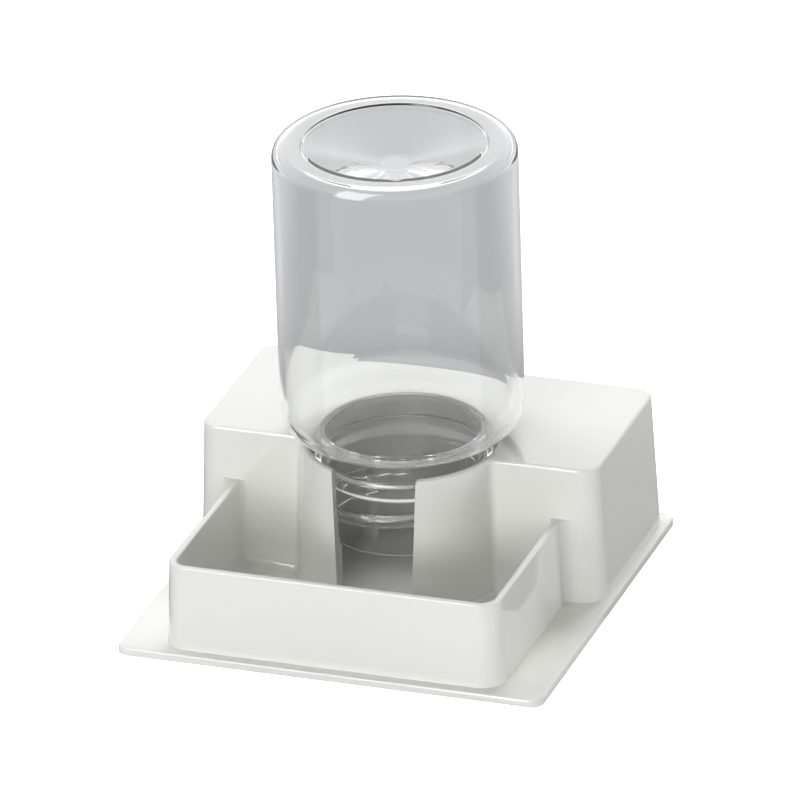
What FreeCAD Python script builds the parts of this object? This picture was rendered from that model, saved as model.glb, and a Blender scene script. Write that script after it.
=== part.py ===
import FreeCAD, Part
import math
import os
import Sketcher
from FreeCAD import Placement, Rotation, Vector

# An automatic water dish for reptiles: a clear bottle stands upside down, by its mouth, in the
# socket of a moulded dish. Water runs out through the slot in the socket until it covers the
# mouth. Sizes are in millimetres. X runs along the front edge, Y from the front to the back and
# Z up. The origin is at the centre of the dish's underside.

document = FreeCAD.newDocument("WaterDish")

# Driving sizes
SIZES = [
    ("flange_width", 120.0, "dish, plate along X"),
    ("flange_depth", 118.0, "dish, plate along Y"),
    ("flange_corner", 3.5, "dish, radius of the plate's corners"),
    ("flange_edge", 0.5, "dish, chamfer of the plate's upper edge"),
    ("plate", 2.2, "dish, thickness of the plate, which is also the floor of the basin"),
    ("wall", 2.1, "dish, wall thickness at the rims and of the block's shell"),
    ("draft_angle", 2.5, "dish, mould draft of the upright faces, in degrees"),
    ("block_width", 112.4, "block, along X at its top"),
    ("block_depth", 53.9, "block, along Y at its top"),
    ("block_height", 41.0, "block, top above the underside"),
    ("block_margin", 3.9, "block, from its top rear edge in to the plate's rear edge"),
    ("block_corner", 5.0, "block, radius of its upright corners at the top"),
    ("block_edge", 1.0, "block, radius of its top edge"),
    ("basin_width", 93.4, "basin, along X at the rim, outside"),
    ("basin_height", 26.2, "basin, rim above the underside"),
    ("basin_margin", 4.0, "basin, from its front rim in to the plate's front edge"),
    ("basin_corner", 5.6, "basin, radius of its front corners at the rim, outside"),
    ("basin_edge", 0.5, "basin, chamfer of the rim's two edges"),
    ("basin_foot", 1.2, "basin, slope where the walls meet the floor"),
    ("basin_inner_round", 3.2, "basin, radius of the webs that join its side walls to the block, inside"),
    ("basin_outer_round", 5.0, "basin, radius of those webs outside"),
    ("web_sink", 0.3, "basin, how far a web's round face sinks into the faces it joins"),
    ("socket_bore", 51.0, "socket, inner diameter"),
    ("socket_edge", 0.6, "socket, chamfer of the bore's upper edge"),
    ("socket_setback", 6.6, "socket, axis behind the block's top front edge"),
    ("socket_blend", 2.0, "socket, radius where it leaves the block's front face"),
    ("slot_top_width", 23.8, "socket, width of the slot at the rim"),
    ("slot_foot_width", 20.9, "socket, width of the slot at the floor"),
    ("shoulder_gap", 3.5, "clearance between the block's top and the bottle's shoulder"),
    ("rib_thickness", 2.0, "socket, thickness of the ribs"),
    ("rib_count", 4, "socket, number of ribs, the first one at 45 degrees"),
    ("rib_ledge", 2.2, "socket, how far the ledge of a rib reaches in past the bottle's mouth"),
    ("rib_guide", 5.0, "socket, how far a rib stands up past its ledge"),
    ("mouth_play", 0.4, "clearance round the mouth, between the ribs"),
    ("mouth_gap", 0.1, "clearance under the mouth, above the ledges"),
    ("bottle_diameter", 66.0, "bottle, body"),
    ("bottle_height", 112.6, "bottle, from the mouth to the rim of its base"),
    ("bottle_wall", 1.0, "bottle, wall thickness"),
    ("neck_diameter", 44.0, "bottle, neck outside the thread"),
    ("neck_length", 28.3, "bottle, from the mouth to the shoulder"),
    ("shoulder_height", 8.2, "bottle, height of the round shoulder"),
    ("lip_edge", 0.4, "bottle, chamfer of the mouth's outer edge"),
    ("bead_diameter", 48.6, "bottle, bead on the neck"),
    ("bead_start", 16.0, "bottle, from the mouth to the bead"),
    ("bead_slope", 2.2, "bottle, height of the bead's sloping side"),
    ("bead_face", 3.0, "bottle, height of the bead's round face"),
    ("heel_round", 4.0, "bottle, outer radius of the edge round its base"),
    ("base_ring", 8.4, "bottle, from its body in to the hollow in its base"),
    ("hollow_depth", 5.9, "bottle, depth of that hollow"),
    ("hollow_lip", 0.8, "bottle, drop from the base's rim to the hollow's cone"),
    ("boss_diameter", 9.4, "bottle, flat round boss at the hollow's centre"),
]

sheet = document.addObject("Spreadsheet::Sheet", "Sizes")
for row, (alias, value, meaning) in enumerate(SIZES, start=1):
    sheet.set(f"A{row}", meaning)
    sheet.set(f"B{row}", str(value))
    sheet.setAlias(f"B{row}", alias)
document.recompute()


def size(alias):
    """Value of one driving size."""
    return float(getattr(sheet, alias))


# Places that follow from the driving sizes, as expressions on the sheet
BLOCK_BACK = "(Sizes.flange_depth / 2 - Sizes.block_margin)"
BLOCK_FRONT = "(Sizes.flange_depth / 2 - Sizes.block_margin - Sizes.block_depth)"
BASIN_FRONT = "(Sizes.basin_margin - Sizes.flange_depth / 2)"
SOCKET_Y = f"({BLOCK_FRONT} + Sizes.socket_setback)"
SOCKET_RADIUS = "(Sizes.socket_bore / 2 + Sizes.wall)"
FLARE = "tan(Sizes.draft_angle * 1deg)"
CAVITY_HEIGHT = "(Sizes.block_height - Sizes.wall)"
LEDGE_LEVEL = "(Sizes.block_height + Sizes.shoulder_gap - Sizes.neck_length - Sizes.mouth_gap)"

block_front = size("flange_depth") / 2 - size("block_margin") - size("block_depth")
basin_front = size("basin_margin") - size("flange_depth") / 2
inner_half = size("basin_width") / 2 - size("wall")
socket_y = block_front + size("socket_setback")
flare = math.tan(math.radians(size("draft_angle")))


def origin_plane(body, role):
    """The body's own origin plane with that role."""
    for item in body.Origin.OriginFeatures:
        if item.Role == role:
            return item
    raise ValueError(role)


def new_sketch(body, name, role="XY_Plane", lift=None):
    """An empty sketch on one of the body's origin planes, lifted along its normal."""
    sketch = body.newObject("Sketcher::SketchObject", name)
    sketch.AttachmentSupport = [(origin_plane(body, role), "")]
    sketch.MapMode = "FlatFace"
    if lift:
        sketch.setExpression("AttachmentOffset.Base.z", lift)
    return sketch


def bind(sketch, constraint, expression):
    """Add a constraint of size and tie it to an expression."""
    index = sketch.addConstraint(constraint)
    sketch.setExpression(f"Constraints[{index}]", expression)


def numbers(sketch, *expressions):
    """What the expressions come to on the sheet."""
    return [float(sketch.evalExpression(text)) for text in expressions]


def rounded_rectangle(sketch, width, front, back, front_round, back_round):
    """Rectangle centred on X, from front to back, with rounded corners; all five are expressions."""
    full, y0, y1, r0, r1 = numbers(sketch, width, front, back, front_round, back_round)
    half = full / 2
    corners = [(half, y0, -1, 1, r0), (half, y1, -1, -1, r1), (-half, y1, 1, -1, r1), (-half, y0, 1, 1, r0)]
    line = [
        Part.LineSegment(Vector(-half + r0, y0, 0), Vector(half - r0, y0, 0)),
        Part.LineSegment(Vector(half, y0 + r0, 0), Vector(half, y1 - r1, 0)),
        Part.LineSegment(Vector(half - r1, y1, 0), Vector(-half + r1, y1, 0)),
        Part.LineSegment(Vector(-half, y1 - r1, 0), Vector(-half, y0 + r0, 0)),
    ]
    sketch.addGeometry(line, False)
    for turn, (x, y, dx, dy, radius) in enumerate(corners):
        centre = Vector(x + dx * radius, y + dy * radius, 0)
        circle = Part.Circle(centre, Vector(0, 0, 1), radius)
        first = math.radians(90 * turn - 90)
        sketch.addGeometry(Part.ArcOfCircle(circle, first, first + math.pi / 2), False)
    for turn in range(4):
        sketch.addConstraint(Sketcher.Constraint("Tangent", turn, 2, 4 + turn, 1))
        sketch.addConstraint(Sketcher.Constraint("Tangent", 4 + turn, 2, (turn + 1) % 4, 1))
    for turn, direction in enumerate(("Horizontal", "Vertical", "Horizontal", "Vertical")):
        sketch.addConstraint(Sketcher.Constraint(direction, turn))
    sketch.addConstraint(Sketcher.Constraint("Symmetric", 1, 1, 3, 2, -2))
    sketch.addConstraint(Sketcher.Constraint("Equal", 5, 6))
    bind(sketch, Sketcher.Constraint("DistanceX", 3, 1, 1, 2, 2 * half), width)
    bind(sketch, Sketcher.Constraint("DistanceY", 0, 1, y0), front)
    bind(sketch, Sketcher.Constraint("DistanceY", 2, 1, y1), back)
    bind(sketch, Sketcher.Constraint("Radius", 4, r0), front_round)
    bind(sketch, Sketcher.Constraint("Radius", 5, r1), back_round)


def circle_on_axis(sketch, radius):
    """Circle about the socket's axis; radius is an expression."""
    start, = numbers(sketch, radius)
    sketch.addGeometry(Part.Circle(Vector(0, socket_y, 0), Vector(0, 0, 1), start), False)
    sketch.addConstraint(Sketcher.Constraint("PointOnObject", 0, 3, -2))
    bind(sketch, Sketcher.Constraint("DistanceY", 0, 3, socket_y), SOCKET_Y)
    bind(sketch, Sketcher.Constraint("Radius", 0, start), radius)


def polygon(sketch, corners):
    """Closed outline of straight lines. Each corner is two expressions, along the sketch's two
    axes; the sheet works out their first numbers."""
    place = [numbers(sketch, *corner) for corner in corners]
    count = len(corners)
    for turn in range(count):
        a, b = place[turn], place[(turn + 1) % count]
        sketch.addGeometry(Part.LineSegment(Vector(a[0], a[1], 0), Vector(b[0], b[1], 0)), False)
    for turn in range(count):
        sketch.addConstraint(Sketcher.Constraint("Coincident", turn, 2, (turn + 1) % count, 1))
    for turn, (across, along) in enumerate(corners):
        if place[turn][0] == 0:
            sketch.addConstraint(Sketcher.Constraint("PointOnObject", turn, 1, -2))
        else:
            bind(sketch, Sketcher.Constraint("DistanceX", turn, 1, place[turn][0]), across)
        if place[turn][1] == 0:
            sketch.addConstraint(Sketcher.Constraint("PointOnObject", turn, 1, -1))
        else:
            bind(sketch, Sketcher.Constraint("DistanceY", turn, 1, place[turn][1]), along)


def corner_web(sketch, wall, face, side, radius):
    """Outline that fills the corner between a wall and the block's front face with a round. It
    reaches half the wall deep into both. side is 1 outside the wall and -1 inside."""
    middle_x = f"{wall} + {side} * ({radius} - Sizes.web_sink)"
    middle_y = f"{face} - ({radius} - Sizes.web_sink)"
    deep_x, deep_y = f"{wall} - {side} * Sizes.wall / 2", f"{face} + Sizes.wall / 2"
    x, y, r, x2, y2 = numbers(sketch, middle_x, middle_y, radius, deep_x, deep_y)
    circle = Part.Circle(Vector(x, y, 0), Vector(0, 0, 1), r)
    first = math.pi / 2 if side > 0 else 0
    sketch.addGeometry(Part.ArcOfCircle(circle, first, first + math.pi / 2), False)
    on_face, on_wall = (1, 2) if side > 0 else (2, 1)
    corners = [(x, y + r), (x, y2), (x2, y2), (x2, y), (x - side * r, y)]
    for a, b in zip(corners, corners[1:]):
        sketch.addGeometry(Part.LineSegment(Vector(*a, 0), Vector(*b, 0)), False)
    sketch.addConstraint(Sketcher.Constraint("Coincident", 0, on_face, 1, 1))
    for line in (1, 2, 3):
        sketch.addConstraint(Sketcher.Constraint("Coincident", line, 2, line + 1, 1))
    sketch.addConstraint(Sketcher.Constraint("Coincident", 4, 2, 0, on_wall))
    for line, direction in enumerate(("Vertical", "Horizontal", "Vertical", "Horizontal"), start=1):
        sketch.addConstraint(Sketcher.Constraint(direction, line))
    sketch.addConstraint(Sketcher.Constraint("Vertical", 0, 3, 0, on_face))
    sketch.addConstraint(Sketcher.Constraint("Horizontal", 0, 3, 0, on_wall))
    bind(sketch, Sketcher.Constraint("DistanceX", 0, 3, x), middle_x)
    bind(sketch, Sketcher.Constraint("DistanceY", 0, 3, y), middle_y)
    bind(sketch, Sketcher.Constraint("Radius", 0, r), radius)
    bind(sketch, Sketcher.Constraint("DistanceX", 2, 2, x2), deep_x)
    bind(sketch, Sketcher.Constraint("DistanceY", 2, 2, y2), deep_y)


def extrude(body, kind, name, sketch, length, reverse=False, taper=None):
    """Pad or pocket of one sketch; length and taper are expressions."""
    feature = body.newObject(f"PartDesign::{kind}", name)
    feature.Profile = sketch
    feature.setExpression("Length", length)
    feature.Reversed = reverse
    if taper:
        feature.setExpression("TaperAngle", taper)
    document.recompute()
    return feature


def edges_where(shape, test):
    """Names of the edges whose ends and middle all pass the test."""
    names = []
    for index, edge in enumerate(shape.Edges, start=1):
        middle = edge.valueAt((edge.FirstParameter + edge.LastParameter) / 2)
        points = [vertex.Point for vertex in edge.Vertexes] + [middle]
        if all(test(point) for point in points):
            names.append(f"Edge{index}")
    return names


def break_edges(body, kind, name, amount, test):
    """Fillet or chamfer of the edges that pass the test; amount is an expression."""
    base = body.Tip
    names = edges_where(base.Shape, test)
    feature = body.newObject(f"PartDesign::{kind}", name)
    feature.Base = (base, names)
    feature.setExpression("Radius" if kind == "Fillet" else "Size", amount)
    document.recompute()
    return feature


def fillet(body, name, radius, test):
    """Round the edges that pass the test."""
    return break_edges(body, "Fillet", name, radius, test)


def chamfer(body, name, amount, test):
    """Cut the edges that pass the test at 45 degrees."""
    return break_edges(body, "Chamfer", name, amount, test)


def near(value, target, slack=0.02):
    """True where two lengths agree."""
    return abs(value - target) < slack


# The dish: one injection moulding. A plate carries an open basin in front and a hollow block
# behind it, and the round socket for the bottle stands half in the block, half in the basin.
dish = document.addObject("PartDesign::Body", "dish_base")
dish.Label = "dish_base"

plate_outline = new_sketch(dish, "PlateOutline")
rounded_rectangle(
    plate_outline, "Sizes.flange_width", "-Sizes.flange_depth / 2", "Sizes.flange_depth / 2",
    "Sizes.flange_corner", "Sizes.flange_corner",
)
extrude(dish, "Pad", "Plate", plate_outline, "Sizes.plate")
chamfer(dish, "PlateEdge", "Sizes.flange_edge", lambda p: near(p.z, size("plate")))

# Basin walls: drawn at the rim, they grow thicker down to the floor on both sides
basin_outline = new_sketch(dish, "BasinOutline", lift="Sizes.basin_height")
rounded_rectangle(
    basin_outline, "Sizes.basin_width", BASIN_FRONT, f"{BLOCK_FRONT} + 4 * Sizes.wall",
    "Sizes.basin_corner", "Sizes.wall",
)
extrude(dish, "Pad", "BasinWalls", basin_outline, "Sizes.basin_height", True, "Sizes.draft_angle")

basin_inside = new_sketch(dish, "BasinInside", lift="Sizes.basin_height")
rounded_rectangle(
    basin_inside, "Sizes.basin_width - 2 * Sizes.wall", f"{BASIN_FRONT} + Sizes.wall",
    f"{BLOCK_FRONT} + 2 * Sizes.wall", "Sizes.basin_corner - Sizes.wall", "Sizes.wall",
)
extrude(
    dish, "Pocket", "BasinHollow", basin_inside, "Sizes.basin_height - Sizes.plate", False,
    "-Sizes.draft_angle",
)
chamfer(dish, "BasinEdge", "Sizes.basin_edge", lambda p: near(p.z, size("basin_height")))

# Block: solid first, so that its front face closes the basin, then hollowed from below
block_outline = new_sketch(dish, "BlockOutline", lift="Sizes.block_height")
rounded_rectangle(
    block_outline, "Sizes.block_width", BLOCK_FRONT, BLOCK_BACK, "Sizes.block_corner",
    "Sizes.block_corner",
)
extrude(dish, "Pad", "Block", block_outline, "Sizes.block_height", True, "Sizes.draft_angle")

# Front of the socket, which bulges out of the block into the basin
bulge_outline = new_sketch(dish, "BulgeOutline", lift="Sizes.block_height")
circle_on_axis(bulge_outline, SOCKET_RADIUS)
extrude(dish, "Pad", "Bulge", bulge_outline, "Sizes.block_height", True, "Sizes.draft_angle")


def upright_at(x, level, lean):
    """Test for the upright edges, left and right, on the block's front face. x is their place at
    the level given; lean is 1 where they spread apart going down and -1 where they close in."""
    def test(point):
        there = x + lean * flare * (level - point.z)
        face = block_front - flare * (size("block_height") - point.z)
        return near(abs(point.x), there, 0.8) and near(point.y, face, 0.8)
    return test


bulge_edge = math.sqrt((size("socket_bore") / 2 + size("wall")) ** 2 - size("socket_setback") ** 2)
fillet(dish, "BulgeBlend", "Sizes.socket_blend", upright_at(bulge_edge, size("block_height"), 1))

def basin_floor(point):
    """True along the foot of the basin's walls and of the socket's front."""
    on_floor = near(point.z, size("plate")) and point.y < block_front
    return on_floor and abs(point.x) < inner_half and point.y > basin_front + size("wall")


chamfer(dish, "BasinFloor", "Sizes.basin_foot", basin_floor)
fillet(dish, "BlockEdge", "Sizes.block_edge", lambda p: near(p.z, size("block_height")))

# Webs: they fill the corners between the basin's side walls and the block, flush with the rim
RIM_FACE = f"({BLOCK_FRONT} - {FLARE} * (Sizes.block_height - Sizes.basin_height))"
webs = []
for name, wall, side, radius in (
    ("OuterWeb", "Sizes.basin_width / 2", 1, "Sizes.basin_outer_round"),
    ("InnerWeb", "(Sizes.basin_width / 2 - Sizes.wall)", -1, "Sizes.basin_inner_round"),
):
    web_outline = new_sketch(dish, f"{name}Outline", lift="Sizes.basin_height")
    corner_web(web_outline, wall, RIM_FACE, side, radius)
    webs.append(extrude(
        dish, "Pad", name, web_outline, "Sizes.basin_height", True, "Sizes.draft_angle",
    ))
mirrored = dish.newObject("PartDesign::Mirrored", "Webs")
mirrored.Originals = webs
mirrored.MirrorPlane = (origin_plane(dish, "YZ_Plane"), [""])
dish.Tip = mirrored
document.recompute()

# Hollow of the block, open below
GROWTH = f"({FLARE} * Sizes.block_height)"
cavity_outline = new_sketch(dish, "CavityOutline")
rounded_rectangle(
    cavity_outline, f"Sizes.block_width + 2 * {GROWTH} - 2 * Sizes.wall",
    f"{BLOCK_FRONT} - {GROWTH} + Sizes.wall", f"{BLOCK_BACK} + {GROWTH} - Sizes.wall",
    f"Sizes.block_corner + {GROWTH} - Sizes.wall", f"Sizes.block_corner + {GROWTH} - Sizes.wall",
)
extrude(dish, "Pocket", "Cavity", cavity_outline, CAVITY_HEIGHT, True, "-Sizes.draft_angle")

# Socket: a straight tube through the hollow, closed below by the plate
tube_outline = new_sketch(dish, "TubeOutline")
circle_on_axis(tube_outline, SOCKET_RADIUS)
extrude(dish, "Pad", "Tube", tube_outline, CAVITY_HEIGHT)
bore_outline = new_sketch(dish, "BoreOutline", lift="Sizes.block_height")
circle_on_axis(bore_outline, "Sizes.socket_bore / 2")
extrude(dish, "Pocket", "Bore", bore_outline, "Sizes.block_height - Sizes.plate")
bore_radius = size("socket_bore") / 2


def round_bore(radius, level):
    """Test for the circles about the socket's axis."""
    return lambda p: near(math.hypot(p.x, p.y - socket_y), radius) and near(p.z, level)


chamfer(dish, "BoreEdge", "Sizes.socket_edge", round_bore(bore_radius, size("block_height")))

# Slot: narrower towards the floor, so that the mould's core draws out upwards
slot_outline = new_sketch(dish, "SlotOutline", "XZ_Plane", f"-{SOCKET_Y}")
polygon(slot_outline, [
    ("-Sizes.slot_foot_width / 2", "Sizes.plate"),
    ("Sizes.slot_foot_width / 2", "Sizes.plate"),
    ("Sizes.slot_top_width / 2", "Sizes.block_height"),
    ("-Sizes.slot_top_width / 2", "Sizes.block_height"),
])
extrude(
    dish, "Pocket", "Slot", slot_outline, f"{SOCKET_RADIUS} + {GROWTH} + Sizes.wall", True,
)

# Ribs inside the socket: each has a ledge for the bottle's mouth and a guide beside it
for name, reach, top in (
    ("Ledge", "Sizes.neck_diameter / 2 - Sizes.rib_ledge", f"{LEDGE_LEVEL} - Sizes.plate"),
    ("Guide", "Sizes.neck_diameter / 2 + Sizes.mouth_play", f"{LEDGE_LEVEL} - Sizes.plate + Sizes.rib_guide"),
):
    rib_outline = new_sketch(dish, f"{name}Outline", lift="Sizes.plate")
    rib_outline.AttachmentOffset = Placement(Vector(), Rotation(Vector(0, 0, 1), 45))
    rib_outline.setExpression("AttachmentOffset.Base.y", SOCKET_Y)
    rib_outline.setExpression("AttachmentOffset.Base.z", "Sizes.plate")
    outer = "Sizes.socket_bore / 2 + Sizes.wall / 2"
    polygon(rib_outline, [
        (reach, "-Sizes.rib_thickness / 2"),
        (outer, "-Sizes.rib_thickness / 2"),
        (outer, "Sizes.rib_thickness / 2"),
        (reach, "Sizes.rib_thickness / 2"),
    ])
    rib = extrude(dish, "Pad", name, rib_outline, top)
    ring = dish.newObject("PartDesign::PolarPattern", f"{name}s")
    ring.Originals = [rib]
    ring.Axis = (rib_outline, ["N_Axis"])
    ring.setExpression("Occurrences", "Sizes.rib_count")
    dish.Tip = ring
    document.recompute()


dish.Placement = Placement(Vector(0, 0, 0), Rotation())
document.recompute()

# The bottle: blown from clear plastic in one piece, drawn from its mouth (0) up to its base.
# Its rounds are drawn as short straight steps, which turn into narrow cones.
bottle = document.addObject("PartDesign::Body", "water_bottle")
bottle.Label = "water_bottle"

NECK = "Sizes.neck_diameter / 2"
BODY = "Sizes.bottle_diameter / 2"
BEAD = "Sizes.bead_diameter / 2"
HOLLOW = f"({BODY} - Sizes.base_ring)"
HOLLOW_TOP = "(Sizes.bottle_height - Sizes.hollow_lip)"
HOLLOW_FLOOR = "(Sizes.bottle_height - Sizes.hollow_depth)"
BEAD_TOP = "(Sizes.bead_start + Sizes.bead_slope)"
SHOULDER_TOP = "(Sizes.neck_length + Sizes.shoulder_height)"


def quarter(radius, level, across, along, steps, first=0):
    """Corners along a quarter of an ellipse, from its foot to its side. radius and level are its
    centre, across and along its half widths; along is negative for a round that bends downwards."""
    turns = [90 * step / steps for step in range(first, steps + 1)]
    return [
        (f"{radius} + {across} * sin({turn}deg)", f"{level} - {along} * cos({turn}deg)")
        for turn in turns
    ]


bottle_outline = new_sketch(bottle, "BottleOutline", "XZ_Plane")
polygon(bottle_outline, [
    ("0", "0"),
    (f"{NECK} - Sizes.lip_edge", "0"),
    (NECK, "Sizes.lip_edge"),
    (NECK, "Sizes.bead_start"),
    (BEAD, BEAD_TOP),
    (BEAD, f"{BEAD_TOP} + Sizes.bead_face"),
    (NECK, f"{BEAD_TOP} + Sizes.bead_face"),
] + quarter(NECK, SHOULDER_TOP, f"({BODY} - {NECK})", "Sizes.shoulder_height", 3) + list(reversed(
    quarter(f"({BODY} - Sizes.heel_round)", "(Sizes.bottle_height - Sizes.heel_round)",
            "Sizes.heel_round", "(-Sizes.heel_round)", 2)
)) + [
    (HOLLOW, "Sizes.bottle_height"),
    (HOLLOW, HOLLOW_TOP),
    ("Sizes.boss_diameter / 2", HOLLOW_FLOOR),
    ("0", HOLLOW_FLOOR),
])

# Room inside: the same outline, one wall thickness in
INNER_NECK = f"({NECK} - Sizes.bottle_wall)"
INNER_BODY = f"({BODY} - Sizes.bottle_wall)"
INNER_HEEL = "(Sizes.heel_round - Sizes.bottle_wall)"
inside_outline = new_sketch(bottle, "InsideOutline", "XZ_Plane")
polygon(inside_outline, [
    ("0", "0"),
    (INNER_NECK, "0"),
] + quarter(INNER_NECK, SHOULDER_TOP, f"({BODY} - {NECK})",
            "(Sizes.shoulder_height - Sizes.bottle_wall)", 2) + list(reversed(
    quarter(f"({BODY} - Sizes.heel_round)", "(Sizes.bottle_height - Sizes.heel_round)",
            INNER_HEEL, f"(-{INNER_HEEL})", 1)
)) + [
    (f"{HOLLOW} + Sizes.bottle_wall", "Sizes.bottle_height - Sizes.bottle_wall"),
    ("Sizes.boss_diameter / 2", f"{HOLLOW_FLOOR} - Sizes.bottle_wall"),
    ("0", f"{HOLLOW_FLOOR} - Sizes.bottle_wall"),
])
for kind, name, sketch in (
    ("Revolution", "BottleSolid", bottle_outline),
    ("Groove", "BottleInside", inside_outline),
):
    turned = bottle.newObject(f"PartDesign::{kind}", name)
    turned.Profile = sketch
    turned.ReferenceAxis = (sketch, ["V_Axis"])
    turned.Angle = 360
    document.recompute()
bottle.setExpression("Placement.Base.y", SOCKET_Y)
bottle.setExpression("Placement.Base.z", f"{LEDGE_LEVEL} + Sizes.mouth_gap")
document.recompute()

# Write the two pieces, once every feature has built
for item in document.Objects:
    if {"Invalid", "Error"} & set(item.State):
        raise RuntimeError(f"{item.Name} did not build: {item.State}")
for body in (dish, bottle):
    shape = body.Shape
    if shape.isNull() or not shape.isValid() or len(shape.Solids) != 1:
        raise RuntimeError(f"{body.Label} is not one valid solid")

os.makedirs("parts", exist_ok=True)
for body in (dish, bottle):
    body.Shape.exportStep(f"parts/{body.Label}.step")
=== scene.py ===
import math

import bpy
import numpy as np
from mathutils import Matrix, Vector


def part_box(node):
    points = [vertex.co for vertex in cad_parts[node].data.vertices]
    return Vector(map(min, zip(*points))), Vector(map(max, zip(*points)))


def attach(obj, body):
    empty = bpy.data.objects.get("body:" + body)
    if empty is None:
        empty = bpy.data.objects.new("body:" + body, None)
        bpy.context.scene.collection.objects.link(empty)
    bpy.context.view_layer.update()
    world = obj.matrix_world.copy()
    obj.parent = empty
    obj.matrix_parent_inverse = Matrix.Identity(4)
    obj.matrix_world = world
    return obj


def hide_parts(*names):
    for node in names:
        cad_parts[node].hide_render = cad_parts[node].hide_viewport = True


# Looks of an automatic water dish for reptiles, in metres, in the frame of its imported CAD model:
# X runs along the front edge, Y to the back and Z up, from the centre of the dish's underside.
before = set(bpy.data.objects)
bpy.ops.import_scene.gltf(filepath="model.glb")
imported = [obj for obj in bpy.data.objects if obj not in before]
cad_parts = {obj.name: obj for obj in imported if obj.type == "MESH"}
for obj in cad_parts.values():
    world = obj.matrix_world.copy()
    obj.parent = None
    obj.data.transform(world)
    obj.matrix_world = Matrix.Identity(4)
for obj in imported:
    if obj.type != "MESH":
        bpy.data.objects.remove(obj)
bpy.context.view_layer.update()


# The dish: a plate with an open basin in front and a hollow block with the bottle's socket behind.
# It is one injection moulding in warm white plastic, from a polished mould, and it stands loose
# on the floor.
DISH_COLOUR = (0.778, 0.782, 0.746, 1.0)
DISH_SHADE = 0.97
DISH_IOR = 1.49
POLISH_SCALE = 55
POLISH_DETAIL = 4
POLISH_ROUGHNESS = (0.03, 0.07)
PEEL_SCALE = 420
PEEL_DETAIL = 2
PEEL_STRENGTH = 0.25
PEEL_DEPTH = 0.00002
DISH_SHARP_ANGLE = math.radians(52)
DISH_FLAT_WEIGHT = 60


def skin_of(node):
    """The node's triangles with their shared corners joined. Corners that agree to 1 micrometre
    are one, and triangles that two equal corners leave without an area are dropped."""
    mesh = node.data
    place = np.empty(len(mesh.vertices) * 3)
    mesh.vertices.foreach_get("co", place)
    corner = np.empty(len(mesh.loops), dtype=np.int32)
    mesh.loops.foreach_get("vertex_index", corner)
    joined, number = np.unique(place.reshape(-1, 3).round(6), axis=0, return_inverse=True)
    triangles = number.ravel()[corner].reshape(-1, 3)
    a, b, c = triangles.T
    return joined, triangles[(a != b) & (b != c) & (c != a)]


def add_piece(name, places, faces, material):
    """Mesh object at the origin, with its place in its mesh and its faces shaded smooth."""
    mesh = bpy.data.meshes.new(name)
    mesh.from_pydata(places.tolist(), [], faces.tolist())
    mesh.validate()
    mesh.shade_smooth()
    mesh.materials.append(material)
    piece = bpy.data.objects.new(name, mesh)
    bpy.context.collection.objects.link(piece)
    return piece


def new_finish(name):
    """A material with nodes, its node tree and its Principled shader."""
    material = bpy.data.materials.new(name)
    material.use_nodes = True
    return material, material.node_tree, material.node_tree.nodes["Principled BSDF"]


def cloud(tree, scale, detail):
    """Soft noise from 0 to 1 over the piece. Scale is the number of blobs in a metre."""
    place = tree.nodes.new("ShaderNodeTexCoord")
    noise = tree.nodes.new("ShaderNodeTexNoise")
    noise.inputs["Scale"].default_value = scale
    noise.inputs["Detail"].default_value = detail
    tree.links.new(place.outputs["Object"], noise.inputs["Vector"])
    return noise.outputs["Fac"]


def uneven(tree, shader, height, strength, depth):
    """Bump on the shader's surface, as high as depth where the given height is 1."""
    bump = tree.nodes.new("ShaderNodeBump")
    bump.inputs["Strength"].default_value = strength
    bump.inputs["Distance"].default_value = depth
    tree.links.new(height, bump.inputs["Height"])
    tree.links.new(bump.outputs["Normal"], shader.inputs["Normal"])


def change(tree, value, start, end, low, high):
    """Low up to the start, high from the end on, and an even change between them."""
    node = tree.nodes.new("ShaderNodeMapRange")
    for socket, number in zip(("From Min", "From Max", "To Min", "To Max"), (start, end, low, high)):
        node.inputs[socket].default_value = number
    tree.links.new(value, node.inputs["Value"])
    return node.outputs["Result"]


def moulded_plastic():
    """Glossy injection moulded plastic: the mould's polish changes slowly over the part, and the
    surface has a faint orange peel."""
    material, tree, shader = new_finish("dish_plastic")
    shader.inputs["IOR"].default_value = DISH_IOR
    polish = cloud(tree, POLISH_SCALE, POLISH_DETAIL)
    tree.links.new(change(tree, polish, 0, 1, *POLISH_ROUGHNESS), shader.inputs["Roughness"])
    tone = tree.nodes.new("ShaderNodeMix")
    tone.data_type = "RGBA"
    tone.inputs["A"].default_value = DISH_COLOUR
    tone.inputs["B"].default_value = tuple(DISH_SHADE * part for part in DISH_COLOUR[:3]) + (1.0,)
    tree.links.new(polish, tone.inputs["Factor"])
    tree.links.new(tone.outputs["Result"], shader.inputs["Base Color"])
    uneven(tree, shader, cloud(tree, PEEL_SCALE, PEEL_DETAIL), PEEL_STRENGTH, PEEL_DEPTH)
    return material


dish = add_piece("dish", *skin_of(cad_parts["dish_base"]), moulded_plastic())
dish.data.set_sharp_from_angle(angle=DISH_SHARP_ANGLE)
even = dish.modifiers.new("even_light", "WEIGHTED_NORMAL")
even.keep_sharp = True
even.weight = DISH_FLAT_WEIGHT
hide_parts("dish_base")
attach(dish, "root")


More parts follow.
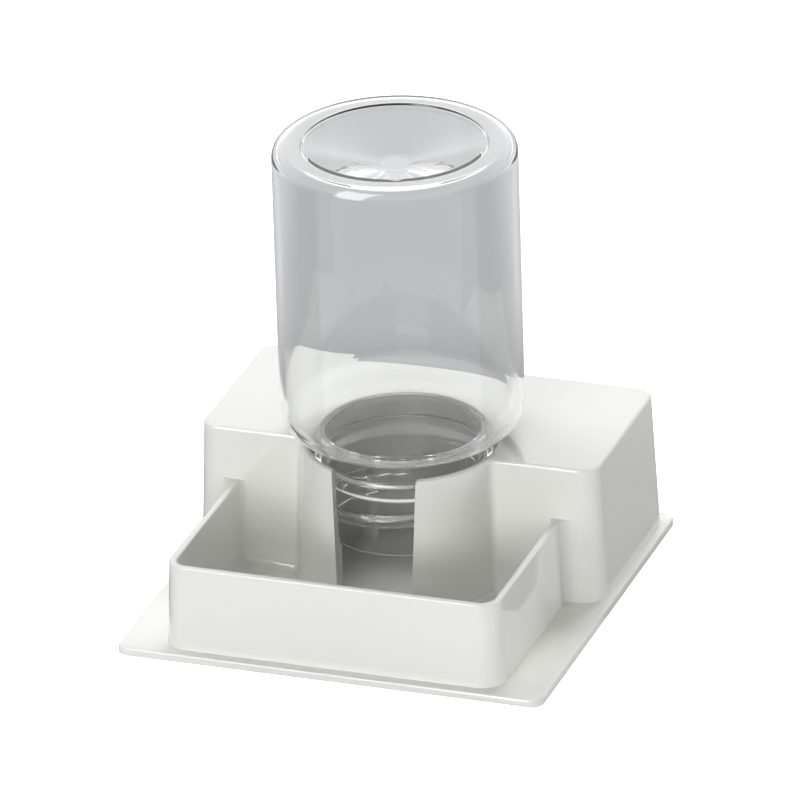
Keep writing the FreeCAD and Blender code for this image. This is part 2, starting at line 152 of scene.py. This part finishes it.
# The bottle: one blow moulding in clear plastic, with a wall of 1.7 mm. It stands upside down,
# its mouth on the ledges of the dish's socket and its hollow base on top. Heights are above
# the mouth.
bottle_low, bottle_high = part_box("water_bottle")
BOTTLE_AXIS_Y = (bottle_low[1] + bottle_high[1]) / 2
BOTTLE_MOUTH = bottle_low[2]
BOTTLE_HEIGHT = bottle_high[2] - bottle_low[2]
BODY_RADIUS = (bottle_high[0] - bottle_low[0]) / 2
BODY_WALL = 0.0017
HEEL_ROUND = 0.004
RING_WALL = 0.0016
RING_INSIDE = 0.0255
CEILING_ROUNDS = (0.0022, 0.0008)
HOLLOW_RADIUS = 0.0246
HOLLOW_STEP = 0.0005
HOLLOW_FLARE = 0.0003
HOLLOW_ROUNDS = (0.0005, 0.0004)
BOSS_RADIUS = 0.0047
BOSS_DEPTH = 0.0059
BOSS_WALL = 0.0014
BOSS_ROUND = 0.0012
SHOULDER_FOOT = 0.0277
SHOULDER_RISE = 0.0085
SHOULDER_TURN = 1.42
INNER_SHOULDER_FOOT = 0.0282
INNER_SHOULDER_RISE = 0.0077
NECK_RADIUS = 0.022
NECK_WALL = 0.001
LIP_WIDTH = 0.0005
LIP_ROUNDS = (0.0004, 0.0003)
BEAD_RADIUS = 0.0243
BEAD_TOP = 0.0212
BEAD_FOOT = 0.0182
BEAD_SLOPE_FOOT = 0.016
BEAD_ROUNDS = (0.0004, 0.0005, 0.0006, 0.0008)
THREAD_CREST = 0.0017
THREAD_PITCH = 0.0119
THREAD_FRONT = 0.01
THREAD_FOOT = 0.0008
THREAD_HALF = 0.00095
THREAD_FLANK = 0.0006
THREAD_HALF_TURN = 0.97 * math.pi
THREAD_RUNOUT = 0.25
CREASE_DEPTH = 0.000007
CREASE_COUNTS = (19, 27, 34)
CREASE_TURNS = (0.6, 2.1, 0.0)
CREASE_START = 0.0045
CREASE_RISE = 0.002
CREASE_END = 0.0225
CREASE_FALL = 0.016
ROUND_STEPS = 16
CORNER_STEPS = 6
INNER_CORNER_STEPS = 8
BODY_STEP = 0.0015
NECK_STEP = 0.0004
INNER_STEP = 0.003
BOTTLE_TURNS = 256
BOTTLE_TINT = (0.955, 0.96, 0.96, 1.0)
BOTTLE_IOR = 1.5
LAMP_LIGHT_THROUGH = (0.58, 0.58, 0.58, 1.0)
RIPPLE_SCALE = 70
RIPPLE_DETAIL = 1
RIPPLE_STRENGTH = 0.04
RIPPLE_DEPTH = 0.00003


def rounded_line(corners, steps):
    """Line through corners (x, y, radius). Each corner becomes an arc that touches both of its
    sides: its centre is radius / sin(half angle) away, between the sides."""
    corners = np.asarray(corners, dtype=float)
    point, radius = corners[1:-1, :2], corners[1:-1, 2:]
    before, after = corners[:-2, :2] - point, corners[2:, :2] - point
    before /= np.linalg.norm(before, axis=1, keepdims=True)
    after /= np.linalg.norm(after, axis=1, keepdims=True)
    half = np.arccos(np.clip((before * after).sum(1, keepdims=True), -1, 1)) / 2
    between = before + after
    between /= np.linalg.norm(between, axis=1, keepdims=True)
    centre = point + between * radius / np.sin(half)
    first = point + before * radius / np.tan(half) - centre
    last = point + after * radius / np.tan(half) - centre
    start = np.arctan2(first[:, 1], first[:, 0])
    sweep = (np.arctan2(last[:, 1], last[:, 0]) - start + np.pi) % (2 * np.pi) - np.pi
    turn = start[:, None] + sweep[:, None] * np.linspace(0, 1, steps + 1)
    arcs = centre[:, None] + radius[:, None] * np.stack([np.cos(turn), np.sin(turn)], 2)
    return np.vstack([corners[:1, :2], arcs.reshape(-1, 2), corners[-1:, :2]])


def divided(line, longest):
    """The same line, with its long straight steps divided into equal shorter ones."""
    length = np.linalg.norm(np.diff(line, axis=0), axis=1)
    parts = np.maximum(np.ceil(length / longest).astype(int), 1)
    step = np.repeat(np.arange(len(parts)), parts)
    share = (np.arange(len(step)) - np.repeat(np.cumsum(parts) - parts, parts)) / parts[step]
    inner = line[step] + share[:, None] * (line[step + 1] - line[step])
    return np.vstack([inner, line[-1:]])


def quarter_round(radius, level, across, along, end):
    """Points (radius + across * sin(t), level - along * cos(t)) of an ellipse, t from 0 to end."""
    t = np.linspace(0, end, ROUND_STEPS + 1)
    return np.stack([radius + across * np.sin(t), level - along * np.cos(t)], 1)


def outside_line():
    """The wall's outline (radius, height) from the middle of the base down outside to the mouth.
    The shoulder's arc stops short of upright, so that it meets the body in a faint edge."""
    width = (BODY_RADIUS - NECK_RADIUS) / math.sin(SHOULDER_TURN)
    level = SHOULDER_FOOT + SHOULDER_RISE
    shoulder = quarter_round(NECK_RADIUS, level, width, SHOULDER_RISE, SHOULDER_TURN)
    ring = BODY_RADIUS - HEEL_ROUND
    heel = quarter_round(ring, BOTTLE_HEIGHT - HEEL_ROUND, HEEL_ROUND, -HEEL_ROUND, np.pi / 2)
    base = rounded_line([
        (0, BOTTLE_HEIGHT - BOSS_DEPTH, 0),
        (BOSS_RADIUS, BOTTLE_HEIGHT - BOSS_DEPTH, BOSS_ROUND),
        (HOLLOW_RADIUS - HOLLOW_FLARE, BOTTLE_HEIGHT - HOLLOW_STEP, HOLLOW_ROUNDS[0]),
        (HOLLOW_RADIUS, BOTTLE_HEIGHT, HOLLOW_ROUNDS[1]),
        (ring, BOTTLE_HEIGHT, 0),
    ], CORNER_STEPS)
    neck = rounded_line([
        (NECK_RADIUS, SHOULDER_FOOT, 0),
        (NECK_RADIUS, BEAD_TOP, BEAD_ROUNDS[0]),
        (BEAD_RADIUS, BEAD_TOP, BEAD_ROUNDS[1]),
        (BEAD_RADIUS, BEAD_FOOT, BEAD_ROUNDS[2]),
        (NECK_RADIUS, BEAD_SLOPE_FOOT, BEAD_ROUNDS[3]),
        (NECK_RADIUS, 0, LIP_ROUNDS[0]),
        (NECK_RADIUS - LIP_WIDTH, 0, 0),
    ], CORNER_STEPS)
    # the thread needs short steps; the rest is as smooth with longer ones
    body = divided(np.vstack([base, heel[1:], shoulder[:0:-1]]), BODY_STEP)
    return np.vstack([body, divided(neck, NECK_STEP)])


def inside_line():
    """The wall's outline from the mouth back up inside to the middle of the base."""
    neck, body = NECK_RADIUS - NECK_WALL, BODY_RADIUS - BODY_WALL
    foot, rise = INNER_SHOULDER_FOOT, INNER_SHOULDER_RISE
    mouth = [(NECK_RADIUS - LIP_WIDTH, 0, 0), (neck, 0, LIP_ROUNDS[1]), (neck, foot, 0)]
    lip = rounded_line(mouth, CORNER_STEPS)
    shoulder = quarter_round(neck, foot + rise, body - neck, rise, np.pi / 2)
    ceiling = BOTTLE_HEIGHT - RING_WALL
    boss = BOTTLE_HEIGHT - BOSS_DEPTH - BOSS_WALL
    base = rounded_line([
        (body, BOTTLE_HEIGHT / 2, 0),
        (body, ceiling, CEILING_ROUNDS[0]),
        (RING_INSIDE, ceiling, CEILING_ROUNDS[1]),
        (BOSS_RADIUS, boss, BOSS_ROUND),
        (0, boss, 0),
    ], INNER_CORNER_STEPS)
    return divided(np.vstack([lip[1:], shoulder[1:], base[1:]]), INNER_STEP)


def bottle_surface():
    """Radius and height over two parameters: the place along the wall's outline, and the turn
    about the axis, which is 0 at the front. The neck's radius is the outline's, plus the thread:
    crest * (half + flank - off) / flank, from 0 to the crest, where off is the distance from a
    helix that rises by one pitch a turn. The hollow base's height is the outline's, plus fine
    creases: depth * the sum of cos(count * turn + start), fading towards the boss and the edge."""
    outside = outside_line()
    outline = np.vstack([outside, inside_line()])
    outer = (np.arange(len(outline)) < len(outside))[:, None]
    turn = np.linspace(0, 2 * np.pi, BOTTLE_TURNS, endpoint=False)
    radius = np.repeat(outline[:, :1], BOTTLE_TURNS, 1)
    height = np.repeat(outline[:, 1:], BOTTLE_TURNS, 1)

    from_front = (turn + np.pi) % (2 * np.pi) - np.pi
    off = np.abs(height - THREAD_FRONT - THREAD_PITCH * from_front / (2 * np.pi))
    ridge = THREAD_CREST * np.clip((THREAD_HALF + THREAD_FLANK - off) / THREAD_FLANK, 0, 1)
    ends = np.clip((THREAD_HALF_TURN - np.abs(from_front)) / THREAD_RUNOUT, 0, 1)
    on_neck = outer & (height > THREAD_FOOT) & (height < BEAD_SLOPE_FOOT)

    creases = sum(np.cos(count * turn + start) for count, start in zip(CREASE_COUNTS, CREASE_TURNS))
    fade_in = np.clip((radius - CREASE_START) / CREASE_RISE, 0, 1)
    fade_out = np.clip((CREASE_END - radius) / CREASE_FALL, 0, 1)
    in_base = outer & (height > BOTTLE_HEIGHT - 2 * BOSS_DEPTH)
    height = height + np.where(in_base, CREASE_DEPTH * creases * fade_in * fade_out, 0)
    return radius + np.where(on_neck, ridge * ends, 0), height, turn


def turned_skin(radius, height, turn, axis_y, foot):
    """Places and faces of a surface about an upright axis: x = radius times the turn's sine, and
    y = axis less radius times its cosine. It is closed at a pole at both ends."""
    rows, columns = radius.shape
    x, y = radius * np.sin(turn), axis_y - radius * np.cos(turn)
    grid = np.stack([x, y, foot + height], 2)[1:-1].reshape(-1, 3)
    poles = np.array([[0, axis_y, foot + height[0, 0]], [0, axis_y, foot + height[-1, 0]]])
    row = np.arange(rows - 3)[:, None] * columns
    here, there = np.arange(columns), np.roll(np.arange(columns), -1)
    quads = np.stack([row + here, row + columns + here, row + columns + there, row + there], 2)
    first, last = len(grid), (rows - 3) * columns
    cap = np.stack([np.full(columns, first), here, there], 1)
    foot_cap = np.stack([np.full(columns, first + 1), last + there, last + here], 1)
    faces = quads.reshape(-1, 4).tolist() + cap.tolist() + foot_cap.tolist()
    return np.vstack([grid, poles]), np.array(faces, dtype=object)


def clear_plastic():
    """Clear blown plastic: smooth and shiny, with faint ripples from blowing. Each of its
    surfaces lets more than half of the lamps' light through."""
    material, tree, shader = new_finish("clear_plastic")
    shader.inputs["Base Color"].default_value = BOTTLE_TINT
    shader.inputs["Transmission Weight"].default_value = 1.0
    shader.inputs["Roughness"].default_value = 0.0
    shader.inputs["IOR"].default_value = BOTTLE_IOR
    uneven(tree, shader, cloud(tree, RIPPLE_SCALE, RIPPLE_DETAIL), RIPPLE_STRENGTH, RIPPLE_DEPTH)
    path = tree.nodes.new("ShaderNodeLightPath")
    lamp_light = tree.nodes.new("ShaderNodeBsdfTransparent")
    lamp_light.inputs["Color"].default_value = LAMP_LIGHT_THROUGH
    whole = tree.nodes.new("ShaderNodeMixShader")
    tree.links.new(path.outputs["Is Shadow Ray"], whole.inputs["Fac"])
    tree.links.new(shader.outputs["BSDF"], whole.inputs[1])
    tree.links.new(lamp_light.outputs["BSDF"], whole.inputs[2])
    tree.links.new(whole.outputs["Shader"], tree.nodes["Material Output"].inputs["Surface"])
    return material


bottle_skin = turned_skin(*bottle_surface(), BOTTLE_AXIS_Y, BOTTLE_MOUTH)
bottle = add_piece("bottle", *bottle_skin, clear_plastic())
bottle.visible_diffuse = False
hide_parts("water_bottle")
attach(bottle, "root")


# The floor: a plain pale studio floor, matt, white where the camera sees it, with the dish's
# shadow. Gloss and clear plastic see a glow on it instead, with a painted shadow, darkest at the
# dish, and painted light, brighter behind it, at its sides and in front of it, and brightest far
# away.
FLOOR_REACH = 6.0
FLOOR_COLOUR = (0.72, 0.72, 0.72, 1.0)
FLOOR_GLOW = 0.8
# The glow that gloss and clear plastic see: a painted shadow at the dish, and painted light around
# it.
FLOOR_PAINTED_LIGHT_COLOUR = (0.98, 0.985, 1.0, 1.0)
FLOOR_PAINTED_SHADOW = (0.06, 0.17, 0.12, 0.53)
FLOOR_SIDE_PAINTED_LIGHT = (0.045, 0.14, 0.0, 0.2)
FLOOR_FAR_PAINTED_LIGHT = (0.9, 2.3, 0.0, 1.8)
FLOOR_FRONT_EDGE = -0.014
FLOOR_FRONT_SLANT = -0.16
FLOOR_FRONT_PAINTED_LIGHT = 0.78
CAMERA_ACROSS = math.radians(19.722)


def worked(tree, operation, *values):
    """Math node over the given sockets and plain numbers."""
    node = tree.nodes.new("ShaderNodeMath")
    node.operation = operation
    for socket, value in zip(node.inputs, values):
        if isinstance(value, float):
            socket.default_value = value
        else:
            tree.links.new(value, socket)
    return node.outputs["Value"]


def painted_floor_light(tree):
    """The glow with which gloss and clear plastic see the floor, with a painted shadow at the dish
    and painted light around it. Its front is turned towards the camera and lies past an edge that
    slants back from the middle to both sides."""
    place = tree.nodes.new("ShaderNodeTexCoord").outputs["Object"]
    turn = tree.nodes.new("ShaderNodeMapping")
    turn.inputs["Rotation"].default_value = (0, 0, -CAMERA_ACROSS)
    tree.links.new(place, turn.inputs["Vector"])
    split = tree.nodes.new("ShaderNodeSeparateXYZ")
    tree.links.new(turn.outputs["Vector"], split.inputs["Vector"])
    depth = split.outputs["Y"]
    aside = worked(tree, "ABSOLUTE", split.outputs["X"])
    reach = tree.nodes.new("ShaderNodeVectorMath")
    reach.operation = "LENGTH"
    tree.links.new(place, reach.inputs[0])

    # painted shadow at the dish, easing into painted light further back, at the sides and far away
    behind = change(tree, depth, *FLOOR_PAINTED_SHADOW)
    behind = worked(tree, "ADD", behind, change(tree, aside, *FLOOR_SIDE_PAINTED_LIGHT))
    behind = worked(tree, "ADD", behind, change(tree, reach.outputs["Value"], *FLOOR_FAR_PAINTED_LIGHT))
    # painted light in front of the dish, past an edge that slants back to both sides
    edge = worked(tree, "MULTIPLY_ADD", aside, FLOOR_FRONT_SLANT, FLOOR_FRONT_EDGE)
    level = tree.nodes.new("ShaderNodeMix")
    tree.links.new(worked(tree, "LESS_THAN", depth, edge), level.inputs["Factor"])
    tree.links.new(behind, level.inputs["A"])
    level.inputs["B"].default_value = FLOOR_FRONT_PAINTED_LIGHT
    return level.outputs["Result"]


def pale_floor():
    """Matt floor. To the camera it also glows, so that it is white outside the shadow. Gloss and
    clear plastic see only a glow on it, with painted light and a painted shadow.
    """
    material, tree, shader = new_finish("pale_floor")
    path = tree.nodes.new("ShaderNodeLightPath").outputs
    shader.inputs["Base Color"].default_value = FLOOR_COLOUR
    shader.inputs["Roughness"].default_value = 1.0
    shader.inputs["Specular IOR Level"].default_value = 0.0
    shader.inputs["Emission Color"].default_value = (1, 1, 1, 1)
    glow = worked(tree, "MULTIPLY", path["Is Camera Ray"], FLOOR_GLOW)
    tree.links.new(glow, shader.inputs["Emission Strength"])
    # painted light and painted shadow: a glow that only gloss and clear plastic see
    shown = tree.nodes.new("ShaderNodeEmission")
    shown.inputs["Color"].default_value = FLOOR_PAINTED_LIGHT_COLOUR
    tree.links.new(painted_floor_light(tree), shown.inputs["Strength"])
    either = tree.nodes.new("ShaderNodeMixShader")
    gloss = worked(tree, "MAXIMUM", path["Is Glossy Ray"], path["Is Transmission Ray"])
    tree.links.new(gloss, either.inputs["Fac"])
    tree.links.new(shader.outputs["BSDF"], either.inputs[1])
    tree.links.new(shown.outputs["Emission"], either.inputs[2])
    tree.links.new(either.outputs["Shader"], tree.nodes["Material Output"].inputs["Surface"])
    return material


corners = FLOOR_REACH * np.array([(-1, -1, 0), (1, -1, 0), (1, 1, 0), (-1, 1, 0)], dtype=float)
floor = add_piece("floor", corners, np.array([[0, 1, 2, 3]]), pale_floor())


# The room: white to the camera, and a dim even light on matt surfaces. Gloss and clear plastic
# show it a little grey at the horizon and brighter above, and plain gloss also shows a tall
# soft light at the front left, which draws the light lines along the dish's front edges.
ROOM_LIGHT = 0.08
ROOM_STOPS = ((0.0, 0.85), (0.2, 0.95), (0.35, 1.65), (0.8, 1.35), (1.0, 0.9))
SOFT_LIGHT_STOPS = ((0.0, 0.0), (0.05, 0.0), (0.1, 8.0), (0.84, 8.0), (0.9, 0.0), (1.0, 0.0))
SOFT_LIGHT_SIDEWAYS = (0.914, -0.407, 0.0)
SOFT_LIGHT_HALF_WIDTH = (0.2, 0.26)


def levels(tree, height, stops):
    """Colour Ramp node: a grey level over the height, through the given stops."""
    node = tree.nodes.new("ShaderNodeValToRGB")
    ramp = node.color_ramp.elements
    for at, _ in stops[1:-1]:
        ramp.new(at)
    for stop, (_, shade) in zip(ramp, stops):
        stop.color = (shade, shade, shade, 1)
    tree.links.new(height, node.inputs["Fac"])
    return node.outputs["Color"]


def mixed(tree, factor, first, second, blend="MIX"):
    """Mix node over two colours, each a socket or a plain level."""
    node = tree.nodes.new("ShaderNodeMix")
    node.data_type = "RGBA"
    node.blend_type = blend
    tree.links.new(factor, node.inputs["Factor"])
    for socket, value in (("A", first), ("B", second)):
        if isinstance(value, float):
            node.inputs[socket].default_value = (value, value, value, 1)
        else:
            tree.links.new(value, node.inputs[socket])
    return node.outputs["Result"]


def white_room():
    """The world's colour, by the kind of ray that meets it and the ray's direction."""
    world = bpy.data.worlds.new("white_room")
    world.use_nodes = True
    tree = world.node_tree
    path = tree.nodes.new("ShaderNodeLightPath").outputs
    direction = tree.nodes.new("ShaderNodeTexCoord").outputs["Generated"]
    split = tree.nodes.new("ShaderNodeSeparateXYZ")
    tree.links.new(direction, split.inputs["Vector"])
    height = split.outputs["Z"]

    sideways = tree.nodes.new("ShaderNodeVectorMath")
    sideways.operation = "DOT_PRODUCT"
    sideways.inputs[1].default_value = SOFT_LIGHT_SIDEWAYS
    tree.links.new(direction, sideways.inputs[0])
    beside = worked(tree, "ABSOLUTE", sideways.outputs["Value"])
    within = change(tree, beside, *SOFT_LIGHT_HALF_WIDTH, 1.0, 0.0)
    ahead = worked(tree, "MULTIPLY", within, worked(tree, "LESS_THAN", split.outputs["Y"], 0.0))
    plain_gloss = worked(tree, "GREATER_THAN", path["Is Glossy Ray"], path["Is Transmission Ray"])
    shine = worked(tree, "MULTIPLY", ahead, plain_gloss)

    sky, soft_light = levels(tree, height, ROOM_STOPS), levels(tree, height, SOFT_LIGHT_STOPS)
    shown = mixed(tree, shine, sky, soft_light, "ADD")
    gloss = worked(tree, "MAXIMUM", path["Is Glossy Ray"], path["Is Transmission Ray"])
    colour = mixed(tree, gloss, ROOM_LIGHT, shown)
    colour = mixed(tree, path["Is Camera Ray"], colour, 1.0)
    tree.links.new(colour, tree.nodes["Background"].inputs["Color"])
    tree.nodes["Background"].inputs["Strength"].default_value = 1.0
    return world


bpy.context.scene.world = white_room()


# The lamps: soft rectangular studio lamps, which neither gloss nor clear plastic shows. All aim
# at the object's middle. The low one in front stands close and lights the dish's fronts.
LAMP_AIM = (0.0, 0.0, 0.06)
LAMP_WIDTH = 0.8
for name, place, breadth, power in (
    ("front_low_lamp", (0.0, -0.72, 0.13), 0.2, 2.9),
    ("front_lamp", (0.0, -1.73, 1.06), 0.8, 8.0),
    ("rear_lamp", (0.0, 1.15, 1.70), 0.8, 25.0),
    ("left_lamp", (-0.99, 0.57, 1.70), 0.8, 15.0),
    ("right_lamp", (1.68, 0.97, 0.54), 0.8, 12.0),
):
    lamp = bpy.data.lights.new(name, "AREA")
    lamp.shape = "RECTANGLE"
    lamp.size = LAMP_WIDTH
    lamp.size_y = breadth
    lamp.energy = power
    holder = bpy.data.objects.new(name, lamp)
    holder.location = place
    aim = Vector(LAMP_AIM) - Vector(place)
    holder.rotation_euler = aim.to_track_quat("-Z", "Y").to_euler()
    holder.visible_glossy = False
    holder.visible_transmission = False
    bpy.context.collection.objects.link(holder)


# The camera: a long lens from the front right and above. Its direction, roll and distance were
# found from the object's outlines in the photograph, which is 800 pixels wide. The offset is
# the way in pixels from the frame's origin to the picture's middle.
CAMERA_ABOVE = math.radians(26.253)
CAMERA_ROLL = math.radians(1.795)
CAMERA_DISTANCE = 3.3846
CAMERA_FOCUS_PIXELS = 12520
CAMERA_OFFSET_PIXELS = (1.606, 186.737)
PICTURE_PIXELS = 800
SENSOR_WIDTH = 36
CLEAR_BOUNCES = 32
GLOSS_BOUNCES = 16

right = Vector((math.cos(CAMERA_ACROSS), math.sin(CAMERA_ACROSS), 0))
back = Vector((
    math.sin(CAMERA_ACROSS) * math.cos(CAMERA_ABOVE),
    -math.cos(CAMERA_ACROSS) * math.cos(CAMERA_ABOVE),
    math.sin(CAMERA_ABOVE),
))
up = back.cross(right)
across = right * math.cos(CAMERA_ROLL) - up * math.sin(CAMERA_ROLL)
upward = right * math.sin(CAMERA_ROLL) + up * math.cos(CAMERA_ROLL)
offset = across * CAMERA_OFFSET_PIXELS[0] + upward * CAMERA_OFFSET_PIXELS[1]
away = (back - offset / CAMERA_FOCUS_PIXELS).normalized()
across = upward.cross(away).normalized()
upward = away.cross(across)
view = bpy.data.cameras.new("camera")
view.sensor_width = SENSOR_WIDTH
view.lens = CAMERA_FOCUS_PIXELS * SENSOR_WIDTH / PICTURE_PIXELS
view.clip_end = 100
camera = bpy.data.objects.new("camera", view)
turn = Matrix((across, upward, away)).transposed().to_4x4()
camera.matrix_world = Matrix.Translation(back * CAMERA_DISTANCE) @ turn
bpy.context.collection.objects.link(camera)
scene = bpy.context.scene
scene.camera = camera
scene.view_settings.view_transform = "Standard"
scene.cycles.max_bounces = CLEAR_BOUNCES
scene.cycles.transmission_bounces = CLEAR_BOUNCES
scene.cycles.glossy_bounces = GLOSS_BOUNCES
